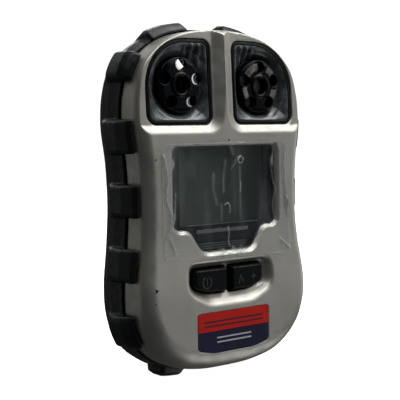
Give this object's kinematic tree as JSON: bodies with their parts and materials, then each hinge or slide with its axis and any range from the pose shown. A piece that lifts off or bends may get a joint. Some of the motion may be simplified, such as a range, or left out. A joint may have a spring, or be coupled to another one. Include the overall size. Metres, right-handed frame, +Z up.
{
  "type": "portable gas detector",
  "caption": "Palm-sized personal gas detector: silver case in a lugged rubber bumper, lens windows, display with protective film, keypad and a sprung belt clip.",
  "frame": {"origin": "centre of the footprint of the bounding box, on the surface that the two feet of the bumper stand on", "axes": "+X to the right as the display is read, +Y out of the back (the front face looks along -Y), +Z up towards the sensor windows"},
  "size_m": [0.0622, 0.0399, 0.097],
  "materials": {
    "silver": "satin silver-grey paint, lightly scuffed; the material under the paint is not known",
    "rubber": "matte black moulded rubber",
    "rear": "fine-textured black",
    "seal": "soft black",
    "smoke": "clear smoky moulded plastic, glossy",
    "gasket": "smooth black",
    "grille": "glossy black",
    "key": "satin black",
    "membrane": "grey silicone",
    "window": "clear plastic window",
    "film": "thin clear protective film",
    "lcd": "dark grey-green display glass",
    "frame": "black",
    "light": "milky light guide",
    "zebra": "striped grey elastomer",
    "board": "green solder mask",
    "chip": "black epoxy",
    "switch": "bright dome",
    "sensor": "off-white moulding",
    "filter": "white porous membrane",
    "sounder": "black",
    "led": "red diffused resin",
    "motor": "bright drawn can",
    "weight": "sintered metal",
    "battery": "blue shrink wrap",
    "contact": "nickel-plated spring sheet and wire",
    "screw": "zinc plated",
    "clip": "spring steel sheet",
    "label": "printed film, red over navy",
    "rear_label": "printed grey film"
  },
  "bodies": {
    "casing": {"battery": "battery", "battery_contact_negative": "contact", "battery_contact_positive": "contact", "case_screw_1": "screw", "case_screw_2": "screw", "case_screw_3": "screw", "case_screw_4": "screw", "case_seal": "seal", "circuit_board": "board", "clip_pin": "screw", "clip_plate": "clip", "clip_screw_lower": "screw", "clip_screw_upper": "screw", "clip_spring": "contact", "display_film": "film", "display_window": "window", "front_label": "label", "front_shell": "silver", "gas_sensor": "sensor", "keypad_membrane": "membrane", "lcd_backlight": "light", "lcd_connector": "zebra", "lcd_frame": "frame", "lcd_panel": "lcd", "left_alarm_led": "led", "left_grille": "grille", "left_key_switch": "switch", "left_lens": "smoke", "left_lens_gasket": "gasket", "processor_chip": "chip", "rear_label": "rear_label", "rear_shell": "rear", "right_alarm_led": "led", "right_grille": "grille", "right_key_switch": "switch", "right_lens": "smoke", "right_lens_gasket": "gasket", "rubber_bumper": "rubber", "sensor_board": "board", "sensor_filter": "filter", "sensor_seal": "seal", "sounder": "sounder", "vibration_motor": "motor"},
    "left_key": {"left_key": "key"},
    "right_key": {"right_key": "key"},
    "clip_jaw": {"clip_jaw": "clip"},
    "vibration_weight": {"vibration_weight": "weight"}
  },
  "joints": [
    {"name": "left_key_press", "type": "slide", "parent": "casing", "child": "left_key", "axis": [0, 1, 0], "range_m": [0, 0.0008], "stiffness_N_per_m": 200, "springref_m": -0.0005},
    {"name": "right_key_press", "type": "slide", "parent": "casing", "child": "right_key", "axis": [0, 1, 0], "range_m": [0, 0.0008], "stiffness_N_per_m": 200, "springref_m": -0.0005},
    {"name": "clip_open", "type": "hinge", "parent": "casing", "child": "clip_jaw", "pos_m": [0, 0.015, 0.0694], "axis": [1, 0, 0], "range_deg": [0, 25], "stiffness_Nm_per_rad": 0.05, "springref_deg": -28.65, "deforming": ["clip_spring"]},
    {"name": "weight_spin", "type": "hinge", "parent": "casing", "child": "vibration_weight", "pos_m": [0, -0.0034, 0.0194], "axis": [1, 0, 0], "continuous": true}
  ]
}
